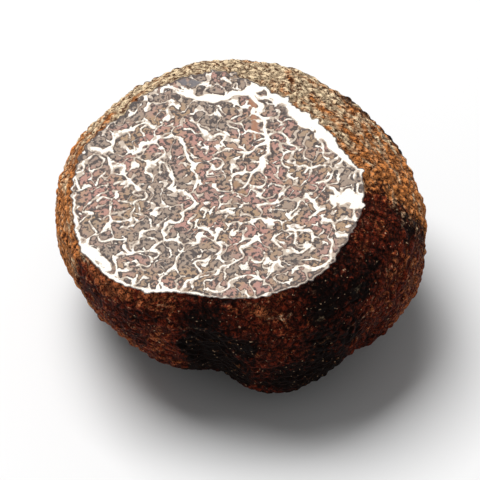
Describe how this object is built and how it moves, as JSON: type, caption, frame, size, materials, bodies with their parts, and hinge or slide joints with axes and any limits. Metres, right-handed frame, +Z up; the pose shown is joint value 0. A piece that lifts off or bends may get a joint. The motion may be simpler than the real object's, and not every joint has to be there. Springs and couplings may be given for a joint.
{
  "type": "black truffle",
  "caption": "Rounded black truffle with a warty rind, its top sliced off to show the white-veined flesh, lying on a small flat spot.",
  "frame": {"origin": "on the ground under the middle of the body's box", "axes": "+Z up, -Y to the front, where the furrow between the two front lobes is; the cut face looks up, tilted a little to the front and to the left (-X)"},
  "size_m": [0.0446, 0.0448, 0.0259],
  "materials": {
    "rind": "matt, covered in small polygonal warts",
    "flesh": "moist satin, marbled with fine white veins"
  },
  "bodies": {
    "root": {"black_truffle": "rind"}
  },
  "joints": []
}
